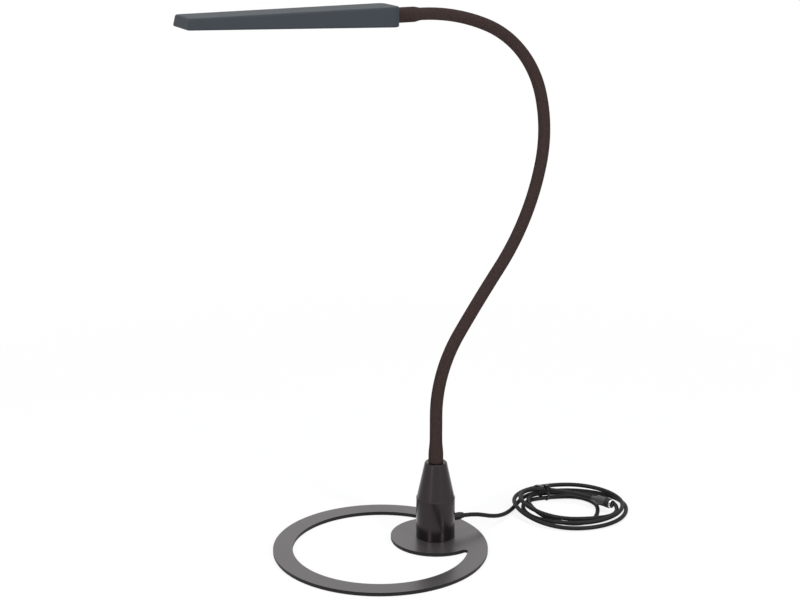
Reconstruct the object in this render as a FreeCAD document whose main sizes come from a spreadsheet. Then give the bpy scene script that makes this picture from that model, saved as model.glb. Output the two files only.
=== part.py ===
import FreeCAD, Part
import math
import os
import re
import Sketcher

# Gooseneck desk lamp: ring base, post, textile covered neck, slim LED head, cord with coil and plug.
# Frame in mm: origin on the post's axis at the desk, +X from the head's tip to the cord, +Z up.

os.makedirs("parts", exist_ok=True)
Vector = FreeCAD.Vector
UP = Vector(0, 0, 1)

# Driving sizes in mm and degrees. Each is a cell of the sheet with this name.
SIZES = {
    # base
    "ring_radius": 110.0, "ring_band": 20.0, "disc_radius": 46.5, "plate_thick": 3.1,
    "mat_thick": 1.0, "mat_inset": 0.6, "notch_round": 3.5,
    # post and its screws
    "post_radius": 20.1, "post_tall": 43.3, "post_bore": 16.0, "post_floor": 11.0, "post_edge": 0.6,
    "screw_circle": 10.5, "screw_radius": 2.5, "screw_head": 4.6, "screw_sink": 2.1, "screw_deep": 9.0,
    "hole_gap": 0.1, "fit_gap": 0.05,
    # cone
    "cone_foot": 19.5, "cone_top": 11.6, "cone_tall": 38.1, "cone_edge": 1.0, "spigot_deep": 7.0,
    "cone_wall": 2.5, "web_thick": 10.0, "tuck_deep": 12.0,
    # neck
    "core_radius": 4.7, "core_bore": 2.0, "joint_gap": 0.3, "sleeve_radius": 6.0, "sleeve_rib": 0.45,
    "sleeve_bore": 5.0, "sleeve_ribs": 12, "foot_straight": 50.0, "head_straight": 34.0,
    "collar_long": 26.0, "collar_taper": 6.5, "ferrule_foot": 6.1, "ferrule_head": 6.35,
    "ferrule_grip": 16.0, "sleeve_wall": 0.85, "nut_across": 19.0, "nut_tall": 6.0,
    "thread_radius": 4.5, "head_nut_across": 13.0, "head_nut_tall": 4.0,
    # head
    "head_long": 205.0, "head_wide": 37.0, "head_rear": 18.5, "head_tip": 10.6, "head_rake": 2.6,
    "head_above": 9.3, "head_wall": 1.6, "head_edge": 1.2, "head_corner": 3.0, "cover_long": 34.0,
    "bay_gap": 0.15, "diffuser_thick": 2.0, "diffuser_recess": 0.4,
    "board_thick": 1.2, "board_wide": 24.0, "board_height": 5.0, "board_margin": 6.0, "board_gap": 0.2,
    "led_long": 3.5, "led_wide": 2.8, "led_tall": 0.8, "led_count": 10,
    "button_radius": 4.5, "button_proud": 1.2, "button_gap": 0.1, "button_flange": 0.8, "button_edge": 0.4,
    "button_travel": 1.0, "button_rest": 0.3, "button_place": 22.0, "case_long": 12.0,
    # cord
    "cord_radius": 2.25, "cord_height": 20.4, "grommet_radius": 3.9, "grommet_neck": 3.2,
    "grommet_out": 12.5, "grommet_straight": 8.0, "grommet_flange": 1.4, "flange_seat": 0.6, "coil_gap": 0.5,
    # plug
    "plug_boot": 6.0, "plug_radius": 5.0, "plug_body": 13.0, "plug_collar": 5.3, "plug_collar_long": 4.6,
    "plug_shell": 4.45, "plug_shell_wall": 0.5, "plug_shell_out": 2.4, "plug_pin": 0.5,
    "plug_pin_circle": 2.0, "plug_pins": 4, "plug_groove": 0.5,
    # cable tie
    "tie_thick": 1.0, "tie_wide": 3.6, "tie_gap": 0.5, "tie_foot": 0.05, "tie_bend": 0.9,
    "tie_head_long": 5.0, "tie_head_tall": 4.0,
}

# The neck from post to head: length and turn of each arc between two straight ends.
NECK_ARCS = ((89.0, -34.0), (78.0, -3.0), (115.0, 25.5), (72.0, 26.5), (98.0, 52.5), (74.0, 22.5))
for number, (arc_long, arc_turn) in enumerate(NECK_ARCS, 1):
    SIZES["arc_long_%d" % number] = arc_long
    SIZES["arc_turn_%d" % number] = arc_turn

doc = FreeCAD.newDocument("gooseneck_lamp")
sheet = doc.addObject("Spreadsheet::Sheet", "sizes")
for row, (alias, number) in enumerate(SIZES.items(), 1):
    sheet.set("A%d" % row, alias)
    sheet.set("B%d" % row, str(number))
    sheet.setAlias("B%d" % row, alias)
doc.recompute()

WORDS = re.compile(r"\b(" + "|".join(sorted(SIZES, key=len, reverse=True)) + r")\b")


def bind(text):
    """An expression with each size's name pointed at the sheet."""
    return WORDS.sub(r"sizes.\1", text)


def size(text):
    """The value of an expression of sizes."""
    return float(sheet.evalExpression(bind(text)))


# Helpers for bodies and sketches

def new_body(label, x="0", y="0", z="0"):
    body = doc.addObject("PartDesign::Body", label)
    body.Label = label
    for axis, text in (("x", x), ("y", y), ("z", z)):
        if text != "0":
            body.setExpression("Placement.Base." + axis, bind(text))
    return body


def new_sketch(body, name, role="XY_Plane", height=None):
    sketch = body.newObject("Sketcher::SketchObject", name)
    plane = [item for item in body.Origin.OriginFeatures if item.Role == role][0]
    sketch.AttachmentSupport = (plane, "")
    sketch.MapMode = "FlatFace"
    if height:
        sketch.setExpression("AttachmentOffset.Base.z", bind(height))
    return sketch


def pin_point(sketch, item, end, x, y):
    """Hold a point of a sketch at the place that two expressions give."""
    for kind, text, axis in (("DistanceX", x, -2), ("DistanceY", y, -1)):
        value = size(text)
        if abs(value) < 1e-9:
            sketch.addConstraint(Sketcher.Constraint("PointOnObject", item, end, axis))
        else:
            row = sketch.addConstraint(Sketcher.Constraint(kind, -1, 1, item, end, value))
            sketch.setExpression("Constraints[%d]" % row, bind(text))


def outline(sketch, points):
    """A closed outline of straight lines through the points."""
    places = [Vector(size(x), size(y), 0) for x, y in points]
    first = sketch.GeometryCount
    count = len(points)
    for i in range(count):
        sketch.addGeometry(Part.LineSegment(places[i], places[(i + 1) % count]), False)
    for i in range(count):
        sketch.addConstraint(Sketcher.Constraint("Coincident", first + i, 2, first + (i + 1) % count, 1))
    for i, (x, y) in enumerate(points):
        pin_point(sketch, first + i, 1, x, y)


def circle(sketch, radius, x="0", y="0"):
    item = sketch.addGeometry(Part.Circle(Vector(size(x), size(y), 0), UP, size(radius)), False)
    row = sketch.addConstraint(Sketcher.Constraint("Radius", item, size(radius)))
    sketch.setExpression("Constraints[%d]" % row, bind(radius))
    if size(x) == 0 and size(y) == 0:
        sketch.addConstraint(Sketcher.Constraint("Coincident", item, 3, -1, 1))
    else:
        pin_point(sketch, item, 3, x, y)


def box_outline(sketch, x0, x1, y0, y1):
    outline(sketch, ((x0, y0), (x1, y0), (x1, y1), (x0, y1)))


def pad(body, sketch, name, length, both=False, down=False):
    feature = body.newObject("PartDesign::Pad", name)
    feature.Profile = sketch
    feature.setExpression("Length", bind(length))
    feature.Midplane = both
    feature.Reversed = down
    return feature


def pocket(body, sketch, name, length, both=False, up=False):
    feature = body.newObject("PartDesign::Pocket", name)
    feature.Profile = sketch
    feature.setExpression("Length", bind(length))
    feature.Midplane = both
    feature.Reversed = up
    return feature


def turned(label, points, x="0", y="0", z="0"):
    """A body turned about its own Z axis from a half outline of radius and height."""
    body = new_body(label, x, y, z)
    sketch = new_sketch(body, label + "_outline", "XZ_Plane")
    outline(sketch, points)
    feature = body.newObject("PartDesign::Revolution", label + "_turned")
    feature.Profile = sketch
    feature.ReferenceAxis = (sketch, ["V_Axis"])
    feature.Angle = 360
    return body


def ring_pattern(body, feature, name, count):
    pattern = body.newObject("PartDesign::PolarPattern", name)
    pattern.Originals = [feature]
    pattern.Axis = ([item for item in body.Origin.OriginFeatures if item.Role == "Z_Axis"][0], [""])
    pattern.Angle = 360
    pattern.setExpression("Occurrences", bind(count))
    body.Tip = pattern
    return pattern


def dress(body, kind, name, text, choose):
    """Fillet or chamfer the edges of the body that choose picks."""
    doc.recompute()
    base = body.Tip
    edges = ["Edge%d" % (i + 1) for i, edge in enumerate(base.Shape.Edges) if choose(edge)]
    if not edges:
        raise RuntimeError("no edge for " + name)
    feature = body.newObject("PartDesign::" + kind, name)
    feature.Base = (base, edges)
    feature.setExpression("Radius" if kind == "Fillet" else "Size", bind(text))
    return feature


def edge_along(edge, axis, least=0.0, slack=1e-6):
    """Whether an edge is a straight one along an axis."""
    if edge.Curve.TypeId != "Part::GeomLine" or edge.Length < least:
        return False
    return abs(abs(edge.tangentAt(edge.FirstParameter).dot(axis)) - 1) < slack


def solid_node(label, shape):
    """A node whose shape is worked out here from the sheet's sizes."""
    node = doc.addObject("Part::Feature", label)
    node.Label = label
    node.Shape = shape
    return node


NODES = []


def keep(node):
    NODES.append(node)
    return node


# Base plate: a steel ring and a disc cut as one sheet, with the anti-slip mat below it

RING_CENTRE = "(disc_radius - ring_radius)"


def ring_opening(sketch, ring, disc):
    """The crescent between the ring's inner circle and the disc."""
    centre = size(RING_CENTRE)
    big, small = size(ring), size(disc)
    cross_x = (big ** 2 - small ** 2 - centre ** 2) / (-2 * centre)
    cross_y = math.sqrt(small ** 2 - cross_x ** 2)
    wide = math.atan2(cross_y, cross_x - centre)
    near = math.atan2(cross_y, cross_x)
    ring_arc = Part.ArcOfCircle(Part.Circle(Vector(centre, 0, 0), UP, big), wide, 2 * math.pi - wide)
    disc_arc = Part.ArcOfCircle(Part.Circle(Vector(0, 0, 0), UP, small), near, 2 * math.pi - near)
    outer = sketch.addGeometry(ring_arc, False)
    inner = sketch.addGeometry(disc_arc, False)
    sketch.addConstraint(Sketcher.Constraint("Coincident", outer, 1, inner, 1))
    sketch.addConstraint(Sketcher.Constraint("Coincident", outer, 2, inner, 2))
    sketch.addConstraint(Sketcher.Constraint("Coincident", inner, 3, -1, 1))
    sketch.addConstraint(Sketcher.Constraint("PointOnObject", outer, 3, -1))
    for kind, items, value, text in (
            ("DistanceX", (-1, 1, outer, 3), centre, RING_CENTRE),
            ("Radius", (outer,), big, ring), ("Radius", (inner,), small, disc)):
        row = sketch.addConstraint(Sketcher.Constraint(kind, *items, value))
        sketch.setExpression("Constraints[%d]" % row, bind(text))


def ring_sheet(label, height, thick, inset, notch):
    body = new_body(label, z=height)
    full = new_sketch(body, label + "_outline")
    circle(full, "ring_radius - " + inset, RING_CENTRE)
    pad(body, full, label + "_sheet", thick)
    gap = new_sketch(body, label + "_gap", height=thick)
    ring_opening(gap, "ring_radius - ring_band + " + inset, "disc_radius - " + inset)
    pocket(body, gap, label + "_opening", thick)
    dress(body, "Fillet", label + "_notches", notch, lambda edge: edge_along(edge, UP)
          and edge.CenterOfMass.x > 0 and abs(edge.CenterOfMass.y) > size("disc_radius") / 2)
    return body


mat = keep(ring_sheet("anti_slip_mat", "0", "mat_thick", "mat_inset", "notch_round - mat_inset"))

plate = keep(ring_sheet("base_plate", "mat_thick", "plate_thick", "0", "notch_round"))
sink = new_sketch(plate, "screw_sink_outline", "XZ_Plane")
outline(sink, (("screw_circle", "0"), ("screw_circle + screw_head + hole_gap", "0"),
               ("screw_circle + screw_radius + hole_gap", "screw_sink"),
               ("screw_circle + screw_radius + hole_gap", "plate_thick"), ("screw_circle", "plate_thick")))
screw_hole = plate.newObject("PartDesign::Groove", "screw_hole")
screw_hole.Profile = sink
screw_hole.ReferenceAxis = (sink, ["Edge5"])
screw_hole.Angle = 360
ring_pattern(plate, screw_hole, "screw_holes", "3")

# Post: a turned cup with three screw holes in its floor and the cord's hole in its wall

PLATE_TOP = "(mat_thick + plate_thick)"
post = keep(turned("post", (
    ("0", "0"), ("post_radius - post_edge", "0"), ("post_radius", "post_edge"),
    ("post_radius", "post_tall - post_edge"), ("post_radius - post_edge", "post_tall"),
    ("post_bore", "post_tall"), ("post_bore", "post_floor"), ("0", "post_floor")), z=PLATE_TOP))
drill = new_sketch(post, "post_screw_outline")
circle(drill, "screw_radius + hole_gap", "screw_circle", "0")
post_hole = pocket(post, drill, "post_screw_hole", "screw_deep", up=True)
ring_pattern(post, post_hole, "post_screw_holes", "3")
cord_hole = new_sketch(post, "cord_hole_outline", "YZ_Plane")
circle(cord_hole, "grommet_neck + fit_gap", "0", "cord_height - " + PLATE_TOP)
pocket(post, cord_hole, "cord_hole", "post_radius + 1", up=True)

screws = new_body("post_screws", z="mat_thick")
screw_sketch = new_sketch(screws, "post_screw_half", "XZ_Plane")
outline(screw_sketch, (
    ("screw_circle", "0.1"), ("screw_circle + screw_head - 0.1", "0.1"),
    ("screw_circle + screw_radius", "screw_sink"),
    ("screw_circle + screw_radius", "plate_thick + screw_deep - 1"),
    ("screw_circle", "plate_thick + screw_deep - 1")))
screw_turn = screws.newObject("PartDesign::Revolution", "post_screw")
screw_turn.Profile = screw_sketch
screw_turn.ReferenceAxis = (screw_sketch, ["Edge5"])
screw_turn.Angle = 360
ring_pattern(screws, screw_turn, "three_screws", "3")
keep(screws)

# Cone: sits on the post by a spigot, with a web that the neck's ferrule passes through

CONE_FOOT = "(mat_thick + plate_thick + post_tall)"
NECK_FOOT = "(mat_thick + plate_thick + post_tall + cone_tall)"
SLEEVE_FOOT = "(ferrule_foot + sleeve_wall)"
cone = keep(turned("cone", (
    ("post_bore - cone_wall", "0 - spigot_deep"), ("post_bore - fit_gap", "0 - spigot_deep"),
    ("post_bore - fit_gap", "0"), ("cone_foot", "0"), ("cone_top", "cone_tall - cone_edge"),
    ("cone_top - cone_edge", "cone_tall"), (SLEEVE_FOOT + " + fit_gap", "cone_tall"),
    (SLEEVE_FOOT + " + fit_gap", "cone_tall - tuck_deep"),
    ("ferrule_foot + fit_gap", "cone_tall - tuck_deep"),
    ("ferrule_foot + fit_gap", "cone_tall - tuck_deep - web_thick"),
    ("post_bore - cone_wall", "cone_tall - tuck_deep - web_thick")), z=CONE_FOOT))

# Ferrule in the cone, with the nut that holds it under the web

FERRULE_FOOT_TALL = "(tuck_deep + web_thick + nut_tall + collar_long)"
keep(turned("ferrule_foot_tube", (
    ("core_bore", "0"), ("ferrule_foot", "0"), ("ferrule_foot", FERRULE_FOOT_TALL),
    ("core_radius + fit_gap", FERRULE_FOOT_TALL),
    ("core_radius + fit_gap", FERRULE_FOOT_TALL + " - ferrule_grip"),
    ("core_bore", FERRULE_FOOT_TALL + " - ferrule_grip")),
    z=NECK_FOOT + " - tuck_deep - web_thick - nut_tall"))

def hex_nut(label, wide, bore, tall, z="0"):
    body = new_body(label, z=z)
    sketch = new_sketch(body, label + "_outline")
    corner = "(%s / 2 / cos(30 deg))" % wide
    outline(sketch, [("%s * cos(%d deg)" % (corner, 60 * i + 30), "%s * sin(%d deg)" % (corner, 60 * i + 30))
                     for i in range(6)])
    circle(sketch, bore)
    pad(body, sketch, label + "_blank", tall)
    return body


keep(hex_nut("neck_nut", "nut_across", "ferrule_foot + fit_gap", "nut_tall",
             NECK_FOOT + " - tuck_deep - web_thick - nut_tall"))

# Neck route: straight foot, six arcs in the XZ plane, straight head end


def heading_vector(turn):
    return Vector(math.cos(turn), 0, math.sin(turn))


def left_of(turn):
    return Vector(-math.sin(turn), 0, math.cos(turn))


class Stretch:
    """A stretch of the neck's line: straight, or an arc that turns left for a positive turn."""

    def __init__(self, start, turn, long, bend=0.0):
        self.start, self.turn, self.long, self.bend = start, turn, long, bend
        if bend:
            self.reach = long / bend
            self.centre = start + left_of(turn) * self.reach

    def place(self, far):
        """The point and heading at a distance along the stretch."""
        if not self.bend:
            return self.start + heading_vector(self.turn) * far, self.turn
        turn = self.turn + self.bend * far / self.long
        return self.centre - left_of(turn) * self.reach, turn

    def part(self, begin, end):
        """The part of the stretch between two distances."""
        point, turn = self.place(begin)
        return Stretch(point, turn, end - begin, self.bend * (end - begin) / self.long)

    def sweep(self, face):
        """Move a face that stands at the start along the stretch."""
        if not self.bend:
            return face.extrude(heading_vector(self.turn) * self.long)
        axis = Vector(0, -1 if self.bend > 0 else 1, 0)
        return face.revolve(self.centre, axis, abs(math.degrees(self.bend)))


def neck_route():
    stretches = [Stretch(Vector(0, 0, size(NECK_FOOT)), math.pi / 2, size("foot_straight"))]
    for number in range(1, len(NECK_ARCS) + 1):
        long = size("arc_long_%d" % number)
        bend = math.radians(size("arc_turn_%d" % number))
        stretches.append(Stretch(*stretches[-1].place(stretches[-1].long), long, bend))
    stretches.append(Stretch(*stretches[-1].place(stretches[-1].long), size("head_straight")))
    return stretches


ROUTE = neck_route()
FOOT, ARCS, TAIL = ROUTE[0], ROUTE[1:-1], ROUTE[-1]
JOINTS = [arc.start for arc in ARCS]
HEAD_POINT, HEAD_TURN = TAIL.place(TAIL.long)


def square_to(point, turn):
    """The placement whose Z axis runs along the neck and whose X axis lies in its plane."""
    ahead, left = heading_vector(turn), left_of(turn)
    return FreeCAD.Placement(point, FreeCAD.Rotation(left, ahead.cross(left), ahead, "ZXY"))


def disc_face(point, turn, radius):
    wire = Part.Wire(Part.makeCircle(radius))
    wire.Placement = square_to(point, turn)
    return Part.Face(wire)


def ribbed_wire(point, turn, radius):
    """The sleeve's outline: one low round rib beside the next."""
    ribs = int(size("sleeve_ribs"))
    valley = radius - size("sleeve_rib")
    step = 2 * math.pi / ribs

    def spot(reach, angle):
        return Vector(reach * math.cos(angle), reach * math.sin(angle), 0)

    arcs = [Part.Arc(spot(valley, i * step), spot(radius, (i + 0.5) * step),
                     spot(valley, (i + 1) * step)).toShape() for i in range(ribs)]
    wire = Part.Wire(arcs)
    wire.Placement = square_to(point, turn)
    return wire


def swept(stretches, make_face):
    """One solid of a face moved along stretches that follow each other."""
    solid = None
    for stretch in stretches:
        piece = stretch.sweep(make_face(stretch.start, stretch.turn))
        solid = piece if solid is None else solid.fuse(piece)
    return solid


def core_link(stretches, cup, ball):
    """A rigid link of the neck's core, with a cup at its start and a ball at its end."""
    radius = size("core_radius")
    solid = swept(stretches, lambda point, turn: disc_face(point, turn, radius))
    if ball is not None:
        solid = solid.fuse(Part.makeSphere(radius, ball))
    if cup is not None:
        solid = solid.cut(Part.makeSphere(radius + size("joint_gap"), cup))
    bore = swept(stretches, lambda point, turn: disc_face(point, turn, size("core_bore")))
    solid = solid.cut(bore)
    if ball is not None:
        point, turn = stretches[-1].place(stretches[-1].long)
        solid = solid.cut(disc_face(point, turn, size("core_bore")).extrude(heading_vector(turn) * radius))
    return solid.Solids[0]


def sleeve_tube(stretches):
    outside = swept(stretches, lambda point, turn: Part.Face(ribbed_wire(point, turn, size("sleeve_radius"))))
    inside = swept(stretches, lambda point, turn: disc_face(point, turn, size("sleeve_bore")))
    return outside.cut(inside)


def stepped_sleeve(stretch, steps):
    """A straight sleeve through steps of distance, outer radius and bore."""
    outer, inner = [], []
    for far, radius, bore in steps:
        point, turn = stretch.place(far)
        outer.append(ribbed_wire(point, turn, radius))
        ring = Part.Wire(Part.makeCircle(bore))
        ring.Placement = square_to(point, turn)
        inner.append(ring)
    return Part.makeLoft(outer, True, True).cut(Part.makeLoft(inner, True, True))


# Neck core: links joined like a chain of balls and cups, one joint at the start of each arc

ferrule_top = size(NECK_FOOT + " + collar_long")
core_start = ferrule_top - size("ferrule_grip") - size(NECK_FOOT)
keep(solid_node("core_link_0", core_link([FOOT.part(core_start, FOOT.long)], None, JOINTS[0])))
for number, arc in enumerate(ARCS, 1):
    last = number == len(ARCS)
    stretches = [arc, TAIL.part(0, TAIL.long - size("collar_long") + size("ferrule_grip"))] if last else [arc]
    keep(solid_node("core_link_%d" % number,
                    core_link(stretches, JOINTS[number - 1], None if last else JOINTS[number])))

# Textile sleeve: one ribbed section over each joint, and a wide foot and top over the ferrules

foot_end = size("collar_long + collar_taper")
foot_radius = size(SLEEVE_FOOT)
keep(solid_node("sleeve_foot", stepped_sleeve(FOOT, (
    (-size("tuck_deep - fit_gap"), foot_radius, size("ferrule_foot + fit_gap")),
    (size("collar_long"), foot_radius, size("ferrule_foot + fit_gap")),
    (foot_end, size("sleeve_radius"), size("sleeve_bore"))))))
for number, arc in enumerate(ARCS, 1):
    before = FOOT.part(foot_end, FOOT.long)
    if number > 1:
        before = ARCS[number - 2].part(ARCS[number - 2].long / 2, ARCS[number - 2].long)
    after = arc.part(0, arc.long if number == len(ARCS) else arc.long / 2)
    keep(solid_node("sleeve_bend_%d" % number, sleeve_tube([before, after])))
top_radius = size("ferrule_head + sleeve_wall + 0.1")
top_start = TAIL.long - size("collar_long")
keep(solid_node("sleeve_top", stepped_sleeve(TAIL, (
    (0, size("sleeve_radius"), size("sleeve_bore")),
    (top_start, top_radius, size("ferrule_head + fit_gap")),
    (TAIL.long - size("fit_gap"), top_radius, size("ferrule_head + fit_gap"))))))

# Head: placed on the neck's end, with its own X axis back along the neck

HEAD = FreeCAD.Placement(HEAD_POINT, FreeCAD.Rotation(Vector(0, 1, 0), 180 - math.degrees(HEAD_TURN)))
REAR_LOW = "(head_above - head_rear)"
TIP_LOW = "(head_above - head_tip)"
UNDER_RISE = "((head_rear - head_tip) / head_long)"
SLOPE = math.degrees(math.atan(size(UNDER_RISE)))
# The underside's own frame: origin at the lower rear edge, X axis along the underside.
UNDER = HEAD.multiply(FreeCAD.Placement(Vector(0, 0, size(REAR_LOW)), FreeCAD.Rotation(Vector(0, 1, 0), SLOPE)))
AROUND_X = FreeCAD.Rotation(Vector(0, 1, 0), 90)
ROOF = "(head_above - head_wall)"
BAY_END = "(head_long - head_rake - head_wall)"
INNER_WIDE = "(head_wide - 2 * head_wall - 2 * bay_gap)"
COVER_TOP = "(diffuser_recess + diffuser_thick)"


def placed_body(label, place):
    body = new_body(label)
    body.Placement = place
    return body


def slab(label, place, x0, x1, z0, z1, wide):
    """A body that is a box across the head, from its side outline."""
    body = placed_body(label, place)
    sketch = new_sketch(body, label + "_side", "XZ_Plane")
    box_outline(sketch, x0, x1, z0, z1)
    pad(body, sketch, label + "_block", wide, both=True)
    return body


def long_or_upright(edge):
    near_x = edge_along(edge, Vector(1, 0, 0), 50, 0.01)
    return near_x or edge_along(edge, UP, 0, 0.1)


shell = placed_body("head_shell", HEAD)
side = new_sketch(shell, "head_side", "XZ_Plane")
outline(side, (("0", REAR_LOW), ("0", "head_above"), ("head_rake - head_long", "head_above"),
               ("0 - head_long", TIP_LOW)))
pad(shell, side, "head_blank", "head_wide", both=True)
dress(shell, "Fillet", "rear_corner", "head_corner", lambda edge: edge_along(edge, Vector(0, 1, 0))
      and edge.CenterOfMass.x > -0.1 and edge.CenterOfMass.z > 0)
dress(shell, "Fillet", "head_edges", "head_edge", long_or_upright)
bay = new_sketch(shell, "bay_side", "XZ_Plane")
box_outline(bay, "0 - " + BAY_END, "0 - head_wall", REAR_LOW + " - 1", ROOF)
pocket(shell, bay, "bay", "head_wide - 2 * head_wall", both=True)
neck_hole = new_sketch(shell, "neck_hole_outline", "YZ_Plane")
circle(neck_hole, "thread_radius + fit_gap")
pocket(shell, neck_hole, "neck_hole", "4 * head_wall", both=True)
keep(shell)

# Ferrule on the head's rear wall: a threaded end goes through the wall into a nut

THREAD_END = "(0 - head_wall - head_nut_tall - 2)"
keep(turned("ferrule_head_tube", (
    ("core_bore", THREAD_END), ("thread_radius", THREAD_END), ("thread_radius", "0"), ("ferrule_head", "0"),
    ("ferrule_head", "collar_long"), ("core_radius + fit_gap", "collar_long"),
    ("core_radius + fit_gap", "collar_long - ferrule_grip"), ("core_bore", "collar_long - ferrule_grip"))))
NODES[-1].Placement = HEAD.multiply(FreeCAD.Placement(Vector(0, 0, 0), AROUND_X))
keep(hex_nut("head_nut", "head_nut_across", "thread_radius + fit_gap", "head_nut_tall"))
NODES[-1].Placement = HEAD.multiply(FreeCAD.Placement(
    Vector(-size("head_wall + head_nut_tall"), 0, 0), AROUND_X))

# Light: diffuser, board with its chips, and the spreader between board and roof

keep(slab("diffuser", UNDER, "bay_gap - " + BAY_END, "0 - cover_long - bay_gap", "diffuser_recess",
          COVER_TOP, INNER_WIDE))
keep(slab("led_board", UNDER, "board_margin - " + BAY_END, "0 - cover_long - board_margin", "board_height",
          "board_height + board_thick", "board_wide"))

led_span = size(BAY_END + " - cover_long - 2 * board_margin")
led_count = int(size("led_count"))
for number in range(1, led_count + 1):
    chip = doc.addObject("Part::Box", "led_%d" % number)
    chip.Label = "led_%d" % number
    for name, text in (("Length", "led_long"), ("Width", "led_wide"), ("Height", "led_tall")):
        chip.setExpression(name, bind(text))
    far = size("cover_long + board_margin") + led_span * (number - 0.5) / led_count
    chip.Placement = UNDER.multiply(FreeCAD.Placement(
        Vector(-far - size("led_long") / 2, -size("led_wide") / 2, size("board_height - led_tall")),
        FreeCAD.Rotation()))
    keep(chip)


def above_board(far):
    """The height just over the board at a distance from the head's rear."""
    return "(%s + board_height + board_thick + board_gap + %s * (%s))" % (REAR_LOW, UNDER_RISE, far)


spreader = placed_body("heat_spreader", HEAD)
side = new_sketch(spreader, "spreader_side", "XZ_Plane")
outline(side, (
    ("0 - cover_long - board_margin", above_board("cover_long + board_margin")),
    ("0 - cover_long - board_margin", ROOF + " - fit_gap"),
    ("board_margin - " + BAY_END, ROOF + " - fit_gap"),
    ("board_margin - " + BAY_END, above_board(BAY_END + " - board_margin"))))
pad(spreader, side, "spreader_block", "board_wide", both=True)
keep(spreader)

# Rear cover with the switch: the button slides up through the cover towards its case

cover = slab("rear_cover", UNDER, "0 - cover_long", "0 - head_wall - bay_gap", "diffuser_recess", COVER_TOP,
             INNER_WIDE)
button_hole = new_sketch(cover, "button_hole_outline")
circle(button_hole, "button_radius + button_gap", "0 - button_place")
pocket(cover, button_hole, "button_hole", "4 * " + COVER_TOP, both=True)
keep(cover)

BUTTON_TOP = "(%s + fit_gap + button_flange)" % COVER_TOP
keep(turned("switch_button", (
    ("0", "diffuser_recess - button_proud"), ("button_radius - button_edge", "diffuser_recess - button_proud"),
    ("button_radius", "diffuser_recess - button_proud + button_edge"),
    ("button_radius", COVER_TOP + " + fit_gap"), ("button_radius + button_flange", COVER_TOP + " + fit_gap"),
    ("button_radius + button_flange", BUTTON_TOP), ("0", BUTTON_TOP))))
NODES[-1].Placement = UNDER.multiply(FreeCAD.Placement(Vector(-size("button_place"), 0, 0), FreeCAD.Rotation()))
CASE_LOW = "(%s + %s * (button_place + case_long) + %s + button_travel + button_rest)" % (
    REAR_LOW, UNDER_RISE, BUTTON_TOP)
keep(slab("switch_case", HEAD, "0 - button_place - case_long / 2", "case_long / 2 - button_place", CASE_LOW,
          ROOF + " - fit_gap", "case_long"))

# Cord: points and arcs. The lead's points are chosen by hand, the coil's turns follow a formula.


def arc_edge(begin, corner, end):
    """The arc from begin to end that touches both lines to their corner."""
    middle = (begin + end) / 2
    half = (end - begin).Length / 2
    rise = (corner - middle).Length
    if rise < 1e-6 * half:
        return Part.LineSegment(begin, end).toShape()
    top = middle + (corner - middle) / rise * half * math.tan(math.atan2(rise, half) / 2)
    return Part.Arc(begin, top, end).toShape()


def arc_radius(begin, corner, end):
    half = (end - begin).Length / 2
    rise = (corner - (begin + end) / 2).Length
    return half / math.sin(math.atan2(rise, half)) if rise > 1e-6 * half else float("inf")


def rounded_route(points, share=0.45):
    """Straight runs through the points, with an arc at each corner. Gives the edges and the radii."""
    edges, radii = [], []
    last = points[0]
    for before, corner, after in zip(points, points[1:], points[2:]):
        reach = share * min((corner - before).Length, (after - corner).Length)
        begin = corner + (before - corner).normalize() * reach
        end = corner + (after - corner).normalize() * reach
        edges.append(Part.LineSegment(last, begin).toShape())
        edges.append(arc_edge(begin, corner, end))
        radii.append(arc_radius(begin, corner, end))
        last = end
    edges.append(Part.LineSegment(last, points[-1]).toShape())
    return edges, radii


def biarc(begin, ahead, end, onward):
    """Two arcs from one point and heading to another, as lists of begin, corner and end."""
    step = end - begin
    both = ahead + onward
    a = both.dot(both) - 4
    b = -2 * step.dot(both)
    c = step.dot(step)
    reach = (-b - math.sqrt(b * b - 4 * a * c)) / (2 * a)
    first = begin + ahead * reach
    second = end - onward * reach
    middle = (first + second) / 2
    return [(begin, first, middle), (middle, second, end)]


def tube(edges, radius):
    wire = Part.Wire(edges)
    start = edges[0].Vertexes[0].Point
    ring = Part.Wire(Part.makeCircle(radius, start, edges[0].tangentAt(edges[0].FirstParameter)))
    solid = wire.makePipeShell([ring], True, False)
    exact = math.pi * radius ** 2 * wire.Length
    if abs(solid.Volume / exact - 1) > 0.01:
        raise RuntimeError("a tube's volume is off: %.1f and %.1f" % (solid.Volume, exact))
    return solid


CORD = size("cord_radius")
COIL_CENTRE = Vector(168, 4, 0)
COIL_START = 153.5
QUARTER = 90.0
LAYER = size("2 * cord_radius + coil_gap")
# Each turn's distance from the centre at its left, back, right and front, as the photo shows it.
COIL_REACH = ((59.0, 54.0, 58.0, 55.0), (57.5, 52.5, 63.0, 52.0), (48.5, 34.0, 28.5, 42.0),
              (43.0, 40.0, 49.0, 36.5), (53.0,))
# The layer that it lies in there. A quarter layer is the height of the tie's band below it.
COIL_LAYER = ((0.25, 0.25, 0.0, 0.0), (1.3, 1.25, 1.0, 1.0), (0.25, 0.25, 0.0, 0.0),
              (1.35, 1.15, 0.0, 1.35), (2.7,))


def coil_station(quarter):
    """The coil's point and heading after a number of quarter turns."""
    turn, place = divmod(quarter, 4)
    angle = math.radians(COIL_START - QUARTER * quarter)
    reach = COIL_REACH[turn][place]
    height = CORD + LAYER * COIL_LAYER[turn][place]
    point = COIL_CENTRE + Vector(reach * math.cos(angle), reach * math.sin(angle), height)
    return point, Vector(math.sin(angle), -math.cos(angle), 0)


def level_heading(degrees):
    return Vector(math.cos(math.radians(degrees)), math.sin(math.radians(degrees)), 0)


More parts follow.
